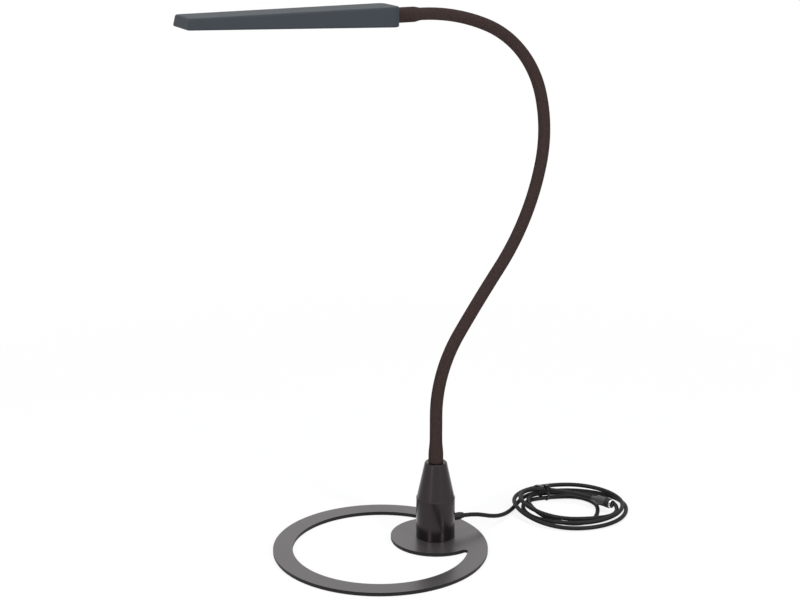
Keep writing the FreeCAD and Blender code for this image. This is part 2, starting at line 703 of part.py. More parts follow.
COIL_ENTRY = Vector(120, 34.5, CORD + LAYER * COIL_LAYER[0][0])
ENTRY_TURN = 38.0
PLUG_END = Vector(191.5, -1.4, 10.5)
PLUG_TURN = -67.0
quarters = sum(len(turn) for turn in COIL_REACH)
straight = 2 * CORD
entry_ahead = level_heading(ENTRY_TURN)
plug_ahead = level_heading(PLUG_TURN)
stations = [(COIL_ENTRY + entry_ahead * straight, entry_ahead)]
stations += [coil_station(quarter) for quarter in range(1, quarters)]
stations.append((PLUG_END - plug_ahead * straight, plug_ahead))
coil_arcs = []
for (begin, ahead), (end, onward) in zip(stations, stations[1:]):
    coil_arcs += biarc(begin, ahead, end, onward)
coil_edges = [Part.LineSegment(COIL_ENTRY, stations[0][0]).toShape()]
coil_edges += [arc_edge(*arc) for arc in coil_arcs]
coil_edges.append(Part.LineSegment(stations[-1][0], PLUG_END).toShape())


def route_points(edges, gap):
    """Points along the edges, each with its distance from the start."""
    points, far = [], 0.0
    for edge in edges:
        count = max(2, int(edge.Length / gap))
        spots = edge.discretize(Number=count + 1)
        if points and (spots[-1] - points[-1][1]).Length < (spots[0] - points[-1][1]).Length:
            spots.reverse()
        points += [(far + edge.Length * i / count, spot) for i, spot in enumerate(spots[:-1])]
        far += edge.Length
    return points


def least_gap(points, thick, apart):
    """The least gap of a tube to itself, between points well apart along it."""
    best = float("inf")
    for i, (far, point) in enumerate(points):
        for farther, other in points[i + 1:]:
            if farther - far > apart:
                best = min(best, (other - point).Length - thick)
    return best


coil_points = route_points(coil_edges, 3.0)
coil_gap = least_gap(coil_points, 2 * CORD, 12 * CORD)
print("coil: least gap to itself %.2f mm, length %.0f mm, tightest arc %.1f mm" % (
    coil_gap, sum(edge.Length for edge in coil_edges), min(arc_radius(*arc) for arc in coil_arcs)))
if coil_gap < 0.4:
    raise RuntimeError("the coil comes too close to itself")

LEAD_POINTS = [Vector(14, 0, size("cord_height")), Vector(44, 0, size("cord_height")), Vector(74, 4.5, 9),
               COIL_ENTRY - entry_ahead * 25 + Vector(0, 0, CORD + 0.05 - COIL_ENTRY.z), COIL_ENTRY]
lead_edges, lead_radii = rounded_route(LEAD_POINTS)
print("lead: arc radii " + ", ".join("%.1f" % radius for radius in lead_radii)
      + ", length %.0f mm" % sum(edge.Length for edge in lead_edges))
keep(solid_node("cord_lead", tube(lead_edges, CORD)))
keep(solid_node("cord_coil", tube(coil_edges, CORD)))

# Grommet: in the post's wall, with its flanges inside and out

WALL = "(post_radius - post_bore)"
INSIDE = "(0 - %s - flange_seat)" % WALL
keep(turned("cord_grommet", (
    ("cord_radius + fit_gap", INSIDE + " - grommet_flange"), ("grommet_radius", INSIDE + " - grommet_flange"),
    ("grommet_radius", INSIDE), ("grommet_neck", INSIDE), ("grommet_neck", "fit_gap"),
    ("grommet_radius", "fit_gap"), ("grommet_radius", "grommet_straight"),
    ("cord_radius + 0.7", "grommet_out"), ("cord_radius + fit_gap", "grommet_out"))))
NODES[-1].Placement = FreeCAD.Placement(Vector(size("post_radius"), 0, size("cord_height")), AROUND_X)

# Plug: a boot, a body with a groove and a collar, a metal shell, and pins in its core

PLUG = FreeCAD.Placement(PLUG_END, FreeCAD.Rotation(UP, plug_ahead.cross(UP), plug_ahead, "ZXY"))


def on_plug(label, points):
    keep(turned(label, points))
    NODES[-1].Placement = PLUG


BODY_END = "(plug_boot + plug_body)"
COLLAR_END = "(plug_boot + plug_body + plug_collar_long)"
on_plug("plug_body", (
    ("0", "0"), ("cord_radius + 0.5", "0"), ("cord_radius + 1.3", "plug_boot - 1"),
    ("plug_radius - 0.8", "plug_boot"), ("plug_radius", "plug_boot + 1.2"),
    ("plug_radius", BODY_END + " - 1.2"), ("plug_radius - plug_groove", BODY_END + " - 1.2"),
    ("plug_radius - plug_groove", BODY_END), ("0", BODY_END)))
on_plug("plug_collar_ring", (
    ("0", BODY_END), ("plug_collar", BODY_END), ("plug_collar", COLLAR_END + " - 0.4"),
    ("plug_collar - 0.4", COLLAR_END), ("plug_shell", COLLAR_END), ("plug_shell", BODY_END + " + 1"),
    ("0", BODY_END + " + 1")))
on_plug("plug_shell_tube", (
    ("plug_shell - plug_shell_wall", BODY_END + " + 1"), ("plug_shell", BODY_END + " + 1"),
    ("plug_shell", COLLAR_END + " + plug_shell_out"),
    ("plug_shell - plug_shell_wall", COLLAR_END + " + plug_shell_out")))
on_plug("plug_core", (
    ("0", BODY_END + " + 1"), ("plug_shell - plug_shell_wall", BODY_END + " + 1"),
    ("plug_shell - plug_shell_wall", COLLAR_END + " - 1"), ("0", COLLAR_END + " - 1")))
pins = placed_body("plug_pins", PLUG)
pin_sketch = new_sketch(pins, "pin_outline", height=COLLAR_END + " - 1")
circle(pin_sketch, "plug_pin", "plug_pin_circle")
pin = pad(pins, pin_sketch, "pin", "plug_shell_out")
ring_pattern(pins, pin, "pin_ring", "plug_pins")
keep(pins)

# Cable tie: a band around the bundle of turns, with its head and tail on top

TIE_TURN = 106.0


def bundle_at(degrees, spread):
    """Distances from the centre and heights of the coil's points near a direction."""
    found = []
    for _, point in coil_points:
        flat = point - COIL_CENTRE
        angle = math.degrees(math.atan2(flat.y, flat.x))
        if abs(angle - degrees) < spread:
            found.append((math.hypot(flat.x, flat.y), point.z))
    return found


bundle = bundle_at(TIE_TURN, 5.0)
room = CORD + size("tie_gap")
near = min(reach for reach, _ in bundle) - room
far = max(reach for reach, _ in bundle) + room
low = size("tie_thick + tie_foot")
high = max(height for _, height in bundle) + room
tie = placed_body("cable_tie", FreeCAD.Placement(COIL_CENTRE, FreeCAD.Rotation(UP, TIE_TURN)))
tie_sketch = new_sketch(tie, "tie_band_outline", "XZ_Plane")
thick = size("tie_thick")
for grow in (thick, 0.0):
    box_outline(tie_sketch, "%.3f" % (near - grow), "%.3f" % (far + grow), "%.3f" % (low - grow),
                "%.3f" % (high + grow))
pad(tie, tie_sketch, "tie_band", "tie_wide", both=True)
dress(tie, "Fillet", "tie_bends", "tie_bend", lambda edge: edge_along(edge, Vector(0, 1, 0)))
block = new_sketch(tie, "tie_head_outline", "XZ_Plane")
box_outline(block, "%.3f" % near, "%.3f" % (near + size("tie_head_long")), "%.3f" % (high + thick / 2),
            "%.3f" % (high + size("tie_head_tall")))
pad(tie, block, "tie_head", "tie_wide + 1.2", both=True)
keep(tie)

# Check every object and write one file for each node

doc.recompute()
for item in doc.Objects:
    if "Invalid" in item.State or "Error" in item.State:
        raise RuntimeError("%s: %s" % (item.Label, item.State))
total = 0
for node in NODES:
    shape = node.Shape
    if shape.isNull() or not shape.isValid() or not shape.Solids:
        raise RuntimeError("bad shape: " + node.Label)
    box = shape.BoundBox
    facets = len(shape.tessellate(0.2)[1])
    total += facets
    print("%-18s solids %d volume %9.1f box %7.1f %7.1f %7.1f to %7.1f %7.1f %7.1f facets %d" % (
        node.Label, len(shape.Solids), shape.Volume, box.XMin, box.YMin, box.ZMin, box.XMax, box.YMax,
        box.ZMax, facets))
    shape.exportStep("parts/%s.step" % node.Label)
print("nodes %d, facets %d" % (len(NODES), total))
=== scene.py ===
import math

import bmesh
import bpy
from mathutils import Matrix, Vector


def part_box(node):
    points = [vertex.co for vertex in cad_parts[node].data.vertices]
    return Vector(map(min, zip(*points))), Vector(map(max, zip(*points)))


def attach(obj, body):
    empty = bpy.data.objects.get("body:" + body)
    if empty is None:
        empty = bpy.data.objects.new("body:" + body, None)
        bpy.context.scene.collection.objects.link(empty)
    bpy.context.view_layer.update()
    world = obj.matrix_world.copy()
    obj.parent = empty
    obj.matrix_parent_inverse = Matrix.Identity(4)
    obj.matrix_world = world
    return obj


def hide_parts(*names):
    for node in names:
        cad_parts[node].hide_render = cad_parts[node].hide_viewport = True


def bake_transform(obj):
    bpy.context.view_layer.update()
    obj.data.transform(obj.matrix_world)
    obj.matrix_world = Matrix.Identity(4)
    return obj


bl_info = {
    "name": "Gooseneck Desk Lamp",
    "version": (1, 0, 0),
    "blender": (4, 5, 0),
    "location": "View3D > Sidebar > Lamp",
    "description": "Dresses the packed desk lamp with its finishes, textile neck, cord and stage",
    "category": "Object",
}

# The frame and its box, in metres. +X runs from the head's tip towards the cord, +Z is up.
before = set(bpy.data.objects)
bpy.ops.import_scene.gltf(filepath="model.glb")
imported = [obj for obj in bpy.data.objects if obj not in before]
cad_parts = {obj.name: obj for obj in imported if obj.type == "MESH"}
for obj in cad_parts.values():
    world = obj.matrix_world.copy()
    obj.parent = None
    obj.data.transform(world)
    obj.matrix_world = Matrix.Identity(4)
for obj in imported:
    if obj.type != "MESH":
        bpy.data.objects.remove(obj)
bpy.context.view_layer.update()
MM = 0.001
UP = Vector((0, 0, 1))

# Cord: the lead's points, then each quarter turn's reach from the coil's centre, and its lift off the
# floor in LAYERs, chosen to follow the photo while the turns clear each other. Millimetres, degrees.
CORD_RADIUS = 2.25
LEAD_START = (20.0, 0.0, 20.4)
LEAD_TURN = (44.0, 0.0, 20.4)
LEAD_FALL = (74.0, 4.5, 8.4)
LEAD_LYING = 2.3
LEAD_RUN = 25.0
COIL_CENTRE = (168.0, 4.0)
COIL_START = 153.5
LAYER = 5.0
COIL_REACH = ((64.1, 44.3, 59.6, 58.7), (61.6, 45.0, 55.5, 52.3), (51.8, 28.3, 28.7, 45.5),
              (46.2, 36.9, 49.6, 46.6), (55.0,))
COIL_LAYER = ((0.71, 0.36, 0.09, 0.11), (1.41, 1.65, 1.0, 0.76), (0.01, 0.14, 0.03, 0.05),
              (1.51, 0.34, 0.0, 1.24), (2.38,))
COIL_ENTRY = (121.4, 36.6)
ENTRY_TURN = 37.0
PLUG_END = (191.5, -1.4, 10.5)
PLUG_TURN = -67.0
POINTS_PER_ARC = 8
# Cable tie: its direction from the coil's centre, its room round the turns and over the floor.
TIE_TURN = 106.0
TIE_ROOM = 0.1
TIE_FLOOR = 0.05
TIE_STEPS = 64

# Neck: straight foot, six arcs in the XZ plane, straight head end. Millimetres and degrees.
NECK_FOOT = 85.5
FOOT_STRAIGHT = 50.0
NECK_ARCS = ((89.0, -34.0), (78.0, -3.0), (115.0, 25.5), (72.0, 26.5), (98.0, 52.5), (74.0, 22.5))
HEAD_STRAIGHT = 34.0
FOOT_COLLAR = 7.0
FOOT_TAPER = 18.0
FOOT_STIFF = 32.5
HEAD_COLLAR = 26.0
FOOT_RADIUS = 7.65
TOP_RADIUS = 7.3
STATION_GAP = 2.0
STATION_MARGIN = 0.3
POINTS_PER_RIB = 8.0
# Head housing: its rear face and its top, from the neck's end. Its bay and bores. Millimetres.
HEAD_BEHIND = 4.0
HEAD_ABOVE = 10.2
CORNER_STEPS = 12
BAY_GAP = 0.15
THREAD_RADIUS = 4.5
BORE_GAP = 0.1
BORE_STEPS = 48

# Stage, in metres and watts: the photo's camera, and each softbox's place, aim, width, height, power.
CAMERA_PLACE = (-0.7721, -1.466, 0.7283)
CAMERA_AHEAD = (0.42926, 0.86096, -0.27293)
SOFTBOXES = (("left_softbox", (-1.7, -0.9, 1.1), (0, 0, 0.3), 0.4, 1.6, 22),
             ("right_softbox", (0.5, -1.9, 1.3), (0, 0, 0.3), 0.26, 1.5, 27),
             ("top_softbox", (0.1, 0.2, 2.2), (0, 0, 0.1), 1.6, 1.6, 26))
DIM_COLOUR = (0.8, 0.82, 0.85, 1.0)
DIM_STRENGTH = 0.45
FLOOR_REACH = 15.0
FLOOR_DROP = 0.0002
FLOOR_SHARE = 0.86


# Small tools


def colour_prop(name, note, rgb):
    return bpy.props.FloatVectorProperty(
        name=name, description=note, default=rgb, subtype="COLOR", size=3, min=0.0, max=1.0)


def length_prop(name, note, value, low=0.0):
    return bpy.props.FloatProperty(
        name=name, description=note, default=value, min=low, unit="LENGTH", precision=5)


def smooth_step(share):
    share = min(1.0, max(0.0, share))
    return share * share * (3 - 2 * share)


def mesh_object(name, verts, faces):
    mesh = bpy.data.meshes.new(name)
    mesh.from_pydata([tuple(v) for v in verts], [], faces)
    mesh.validate()
    piece = bpy.data.objects.new(name, mesh)
    bpy.context.scene.collection.objects.link(piece)
    return piece


def shade_smooth(piece, angle=None):
    piece.data.shade_smooth()
    if angle is not None:
        piece.data.set_sharp_from_angle(angle=math.radians(angle))


def settled(piece):
    """The piece with its modifiers' result as its own mesh."""
    bpy.context.view_layer.update()
    seen = piece.evaluated_get(bpy.context.evaluated_depsgraph_get())
    mesh = bpy.data.meshes.new_from_object(seen)
    piece.modifiers.clear()
    piece.data = mesh
    return piece


def prism(name, low, high):
    """A closed solid between two loops of as many points, the low one anticlockwise from above."""
    count = len(low)
    sides = [(i, (i + 1) % count, count + (i + 1) % count, count + i) for i in range(count)]
    ends = [tuple(reversed(range(count))), tuple(range(count, 2 * count))]
    return mesh_object(name, [*low, *high], sides + ends)


def joined(name, *parts):
    """One mesh object made of the parts, which are taken away. Its faces point outwards."""
    whole = bmesh.new()
    for part in parts:
        whole.from_mesh(part.data)
        bpy.data.objects.remove(part)
    bmesh.ops.recalc_face_normals(whole, faces=whole.faces)
    mesh = bpy.data.meshes.new(name)
    whole.to_mesh(mesh)
    whole.free()
    piece = bpy.data.objects.new(name, mesh)
    bpy.context.scene.collection.objects.link(piece)
    return piece


def carved(piece, *cutters):
    """The piece with the cutters' room taken out of it. The cutters are deleted."""
    for cutter in cutters:
        cut = piece.modifiers.new("cut", "BOOLEAN")
        cut.object = cutter
        cut.operation = "DIFFERENCE"
        cut.solver = "EXACT"
        settled(piece)
        bpy.data.objects.remove(cutter)
    return piece


def paint(piece, material):
    piece.data.materials.clear()
    piece.data.materials.append(material)


def paint_walls(piece, material):
    """A second material on the faces of a sheet that don't face up or down: painted shade on its sides."""
    piece.data.materials.append(material)
    for face in piece.data.polygons:
        face.material_index = 1 if abs(face.normal.z) < 0.5 else 0


def paint_nodes(material, *names):
    for name in names:
        paint(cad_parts[name], material)


class Shader:
    """A material that is built node by node on one Principled shader."""

    def __init__(self, name, colour, rough, metal=0.0, specular=0.5):
        self.material = bpy.data.materials.new(name)
        self.material.use_nodes = True
        self.tree = self.material.node_tree
        self.shader = self.tree.nodes["Principled BSDF"]
        self.shader.inputs["Base Color"].default_value = (*colour, 1.0)
        self.shader.inputs["Roughness"].default_value = rough
        self.shader.inputs["Metallic"].default_value = metal
        self.shader.inputs["Specular IOR Level"].default_value = specular
        self.column = -1

    def node(self, kind, **values):
        made = self.tree.nodes.new(kind)
        self.column -= 1
        made.location = (200 * self.column, 0)
        for key, value in values.items():
            if hasattr(made, key):
                setattr(made, key, value)
            else:
                made.inputs[key].default_value = value
        return made

    def link(self, begin, output, end, socket):
        self.tree.links.new(begin.outputs[output], end.inputs[socket])

    def noise(self, scale, detail=3.0, stretch=None):
        """Noise on Object coordinates, drawn out by the stretch."""
        place = self.node("ShaderNodeTexCoord")
        noise = self.node("ShaderNodeTexNoise", Scale=scale, Detail=detail)
        if stretch:
            mapping = self.node("ShaderNodeMapping")
            mapping.inputs["Scale"].default_value = stretch
            self.link(place, "Object", mapping, "Vector")
            self.link(mapping, "Vector", noise, "Vector")
        else:
            self.link(place, "Object", noise, "Vector")
        return noise

    def tint(self, source, output, first, second, begin, end):
        """Base colour between two colours, by a source's value."""
        ramp = self.node("ShaderNodeValToRGB")
        ramp.color_ramp.elements[0].position = begin
        ramp.color_ramp.elements[0].color = (*first, 1.0)
        ramp.color_ramp.elements[1].position = end
        ramp.color_ramp.elements[1].color = (*second, 1.0)
        self.link(source, output, ramp, "Fac")
        self.tree.links.new(ramp.outputs["Color"], self.shader.inputs["Base Color"])

    def bump(self, source, output, strength, distance):
        bump = self.node("ShaderNodeBump", Strength=strength, Distance=distance)
        self.link(source, output, bump, "Height")
        self.tree.links.new(bump.outputs["Normal"], self.shader.inputs["Normal"])

    def rough(self, source, output, low, high):
        """Roughness between two values, by a source's value from 0 to 1."""
        span = self.node("ShaderNodeMapRange")
        span.inputs["To Min"].default_value = low
        span.inputs["To Max"].default_value = high
        self.link(source, output, span, "Value")
        self.tree.links.new(span.outputs["Result"], self.shader.inputs["Roughness"])


def brushed(name, colour, rough, metal, spread, grain=(1, 1, 1), scale=900.0, specular=0.5):
    """A satin metal or paint with a fine grain in its roughness and relief."""
    made = Shader(name, colour, rough, metal, specular)
    noise = made.noise(scale, 2.0, grain)
    made.rough(noise, "Fac", rough - spread, rough + spread)
    made.bump(noise, "Fac", 0.02, 0.0002)
    return made.material


# Route of the cord and the neck


def heading(degrees):
    return Vector((math.cos(math.radians(degrees)), math.sin(math.radians(degrees)), 0))


def biarc(begin, ahead, end, onward):
    """Two arcs from one point and heading to another, as lists of begin, corner and end."""
    step = end - begin
    both = ahead + onward
    a = both.dot(both) - 4
    b = -2 * step.dot(both)
    c = step.dot(step)
    reach = (-b - math.sqrt(b * b - 4 * a * c)) / (2 * a)
    first = begin + ahead * reach
    second = end - onward * reach
    middle = (first + second) / 2
    return [(begin, first, middle), (middle, second, end)]


def arc_points(begin, corner, end, count):
    """Points on the arc that touches both lines to its corner, without its end."""
    chord = (end - begin) / 2
    rise = corner - (begin + end) / 2
    half = math.atan2(rise.length, chord.length)
    if half < 1e-6:
        return [begin.lerp(end, i / count) for i in range(count)]
    radius = chord.length / math.sin(half)
    out = rise.normalized()
    along = chord.normalized()
    centre = (begin + end) / 2 - out * radius * math.cos(half)
    turns = [-half + 2 * half * i / count for i in range(count)]
    return [centre + (along * math.sin(turn) + out * math.cos(turn)) * radius for turn in turns]


def coil_station(quarter):
    turn, place = divmod(quarter, 4)
    angle = math.radians(COIL_START - 90.0 * quarter)
    reach = COIL_REACH[turn][place]
    height = CORD_RADIUS + LAYER * COIL_LAYER[turn][place]
    point = Vector((COIL_CENTRE[0] + reach * math.cos(angle), COIL_CENTRE[1] + reach * math.sin(angle),
                    height))
    return point, Vector((math.sin(angle), -math.cos(angle), 0))


def cord_route():
    """The cord's points from inside the grommet to the plug, in mm."""
    entry = Vector((*COIL_ENTRY, CORD_RADIUS + LAYER * COIL_LAYER[0][0]))
    ahead = heading(ENTRY_TURN)
    lying = entry - ahead * LEAD_RUN
    lying.z = LEAD_LYING
    points = [Vector(LEAD_START), Vector(LEAD_TURN), Vector(LEAD_FALL), lying]
    plug = Vector(PLUG_END)
    plug_ahead = heading(PLUG_TURN)
    straight = 2 * CORD_RADIUS
    stations = [(entry + ahead * straight, ahead)]
    stations += [coil_station(quarter) for quarter in range(1, sum(len(turn) for turn in COIL_REACH))]
    stations.append((plug - plug_ahead * straight, plug_ahead))
    for (begin, turn), (end, onward) in zip(stations, stations[1:]):
        for arc in biarc(begin, turn, end, onward):
            points += arc_points(*arc, POINTS_PER_ARC)
    return points + [stations[-1][0], plug]


def neck_stations():
    """Stations along the neck, each a distance and a point in mm."""
    stretches = [(FOOT_STRAIGHT, 0.0), *NECK_ARCS, (HEAD_STRAIGHT, 0.0)]
    point, turn, far = Vector((0, 0, NECK_FOOT)), math.pi / 2, 0.0
    found = [(far, point.copy())]
    for long, bend in stretches:
        steps = max(2, round(long / STATION_GAP))
        curve = math.radians(bend) / long
        begin, begin_turn, begin_far = point.copy(), turn, far
        for i in range(1, steps + 1):
            s = long * i / steps
            turn = begin_turn + curve * s
            if curve:
                r = 1 / curve
                point = begin + Vector((r * (math.sin(turn) - math.sin(begin_turn)), 0,
                                        -r * (math.cos(turn) - math.cos(begin_turn))))
            else:
                point = begin + Vector((math.cos(turn), 0, math.sin(turn))) * s
            far = begin_far + s
            found.append((far, point.copy()))
    return found


def link_middles():
    """Distances along the neck of the middle of each link of its core."""
    middles, far = [], FOOT_STRAIGHT
    for long, _ in NECK_ARCS:
        middles.append(far + long / 2)
        far += long
    return middles


# Settings


class LampCordSettings(bpy.types.PropertyGroup):
    diameter: length_prop("Diameter", "Thickness of the cord's jacket", 2 * CORD_RADIUS * MM, 0.001)
    colour: colour_prop("Colour", "Colour of the cord's jacket", (0.006, 0.005, 0.005))
    plug: colour_prop("Plug", "Colour of the plug's moulded body", (0.022, 0.021, 0.022))
    tie_thick: length_prop("Tie thickness", "Thickness of the cable tie's band", 0.6 * MM)
    tie_wide: length_prop("Tie width", "Width of the cable tie's band", 3.6 * MM)
    tie_head: length_prop("Tie head", "Length and width of the cable tie's head", 5.0 * MM)


class LampNeckSettings(bpy.types.PropertyGroup):
    low_radius: length_prop(
        "Radius at the foot", "Radius over the ribs above the foot collar", 6.5 * MM, 0.002)
    high_radius: length_prop(
        "Radius at the head", "Radius over the ribs below the head collar", 5.9 * MM, 0.002)
    rib: length_prop("Rib height", "Height of the long ribs of the sleeve", 0.35 * MM)
    ribs: bpy.props.IntProperty(
        name="Ribs", description="Number of long ribs round the sleeve", default=20, min=3)
    # Painted shade: the near-black colour laid in the valleys between the threads, standing in for the shade
    # there.
    valley_shade: colour_prop("Valley shade", "Colour in the valleys of the textile", (0.005, 0.0035, 0.0033))
    light: colour_prop("Light thread", "Colour on top of the threads", (0.052, 0.034, 0.031))


class LampBodySettings(bpy.types.PropertyGroup):
    post: colour_prop("Post", "Colour of the post and cone", (0.040, 0.033, 0.036))
    plate: colour_prop("Base plate", "Colour of the base plate", (0.125, 0.116, 0.119))
    # Painted shade: a near-black colour for the plate's upright side faces, darker than its top.
    edge: colour_prop("Plate side shade", "Colour of the plate's side faces, as painted shade", (0.008, 0.007, 0.007))


class LampHeadSettings(bpy.types.PropertyGroup):
    long: length_prop("Length", "Length of the head's housing", 211.6 * MM, 0.1)
    wide: length_prop("Width", "Width of the head's housing", 40 * MM, 0.03)
    rear: length_prop("Rear height", "Height of the housing at the neck", 19.5 * MM)
    tip: length_prop("Tip height", "Height of the housing at its tip", 11.1 * MM)
    fall: length_prop("Top fall", "Fall of the top from the neck to the tip", 0.5 * MM)
    rake: length_prop("Tip rake", "Lean of the tip's end face", 2.7 * MM)
    corner: length_prop("Rear corner", "Radius of the rear corners, seen from above", 8 * MM)
    edge: length_prop("Edge", "Radius of the housing's edges", 1.8 * MM)
    colour: colour_prop("Colour", "Colour of the housing's paint", (0.034, 0.040, 0.047))


class LampStageSettings(bpy.types.PropertyGroup):
    lens: bpy.props.FloatProperty(
        name="Lens", description="Focal length of the camera", default=77.4, min=1.0, unit="CAMERA")
    backdrop: colour_prop("Backdrop", "Colour of the floor and backdrop", (1.0, 1.0, 1.0))


# Stage


def background_rays(nodes, links):
    """1 for the rays that show the background: the camera's, and those off metal and through glass."""
    path = nodes.new("ShaderNodeLightPath")
    total = path.outputs["Is Camera Ray"]
    for name in ("Is Glossy Ray", "Is Transmission Ray"):
        both = nodes.new("ShaderNodeMath")
        both.operation = "MAXIMUM"
        links.new(total, both.inputs[0])
        links.new(path.outputs[name], both.inputs[1])
        total = both.outputs["Value"]
    return total


class LAMP_OT_stage(bpy.types.Operator):
    """Set up the camera, the soft studio light and the pale floor"""

    bl_idname = "lamp.stage"
    bl_label = "Stage"

    def execute(self, context):
        settings = context.scene.lamp_stage
        self.camera(context, settings.lens)
        self.lights(context)
        self.world(context, settings.backdrop)
        self.floor(context, settings.backdrop)
        context.scene.view_settings.view_transform = "Standard"
        return {"FINISHED"}

    def camera(self, context, lens):
        data = bpy.data.cameras.new("photo_camera")
        data.lens = lens
        data.sensor_width = 36.0
        data.clip_end = 100.0
        camera = bpy.data.objects.new("photo_camera", data)
        camera.location = CAMERA_PLACE
        camera.rotation_euler = Vector(CAMERA_AHEAD).to_track_quat("-Z", "Y").to_euler()
        context.scene.collection.objects.link(camera)
        context.scene.camera = camera

    def lights(self, context):
        for name, place, aim, wide, tall, power in SOFTBOXES:
            data = bpy.data.lights.new(name, "AREA")
            data.shape = "RECTANGLE"
            data.size = wide
            data.size_y = tall
            data.energy = power
            light = bpy.data.objects.new(name, data)
            light.location = place
            light.rotation_euler = (Vector(aim) - Vector(place)).to_track_quat("-Z", "Y").to_euler()
            context.scene.collection.objects.link(light)

    def world(self, context, colour):
        world = bpy.data.worlds.new("studio")
        world.use_nodes = True
        nodes, links = world.node_tree.nodes, world.node_tree.links
        seen = nodes["Background"]
        seen.inputs["Color"].default_value = (*colour, 1.0)
        dim = nodes.new("ShaderNodeBackground")
        dim.inputs["Color"].default_value = DIM_COLOUR
        dim.inputs["Strength"].default_value = DIM_STRENGTH
        mix = nodes.new("ShaderNodeMixShader")
        links.new(background_rays(nodes, links), mix.inputs["Fac"])
        links.new(dim.outputs["Background"], mix.inputs[1])
        links.new(seen.outputs["Background"], mix.inputs[2])
        links.new(mix.outputs["Shader"], nodes["World Output"].inputs["Surface"])
        context.scene.world = world

    def floor(self, context, colour):
        far = FLOOR_REACH
        corners = [(-far, -far, 0), (far, -far, 0), (far, far, 0), (-far, far, 0)]
        floor = mesh_object("floor", corners, [(0, 1, 2, 3)])
        floor.location.z = -FLOOR_DROP
        material = bpy.data.materials.new("floor_white")
        material.use_nodes = True
        nodes, links = material.node_tree.nodes, material.node_tree.links
        nodes.remove(nodes["Principled BSDF"])
        matte = nodes.new("ShaderNodeBsdfDiffuse")
        matte.inputs["Color"].default_value = (*[FLOOR_SHARE * c for c in colour], 1.0)
        glow = nodes.new("ShaderNodeEmission")
        glow.inputs["Color"].default_value = (*colour, 1.0)
        place = nodes.new("ShaderNodeTexCoord")
        away = nodes.new("ShaderNodeVectorMath")
        away.operation = "LENGTH"
        links.new(place.outputs["Object"], away.inputs[0])
        white = nodes.new("ShaderNodeMapRange")
        for name, value in (("From Min", 0.3), ("From Max", 1.1), ("To Min", 0.84), ("To Max", 1.0)):
            white.inputs[name].default_value = value
        links.new(away.outputs["Value"], white.inputs["Value"])
        share = nodes.new("ShaderNodeMath")
        share.operation = "MULTIPLY"
        links.new(white.outputs["Result"], share.inputs[1])
        mix = nodes.new("ShaderNodeMixShader")
        links.new(background_rays(nodes, links), share.inputs[0])
        links.new(share.outputs["Value"], mix.inputs["Fac"])
        links.new(matte.outputs["BSDF"], mix.inputs[1])
        links.new(glow.outputs["Emission"], mix.inputs[2])
        links.new(mix.outputs["Shader"], nodes["Material Output"].inputs["Surface"])
        paint(floor, material)


# Cord


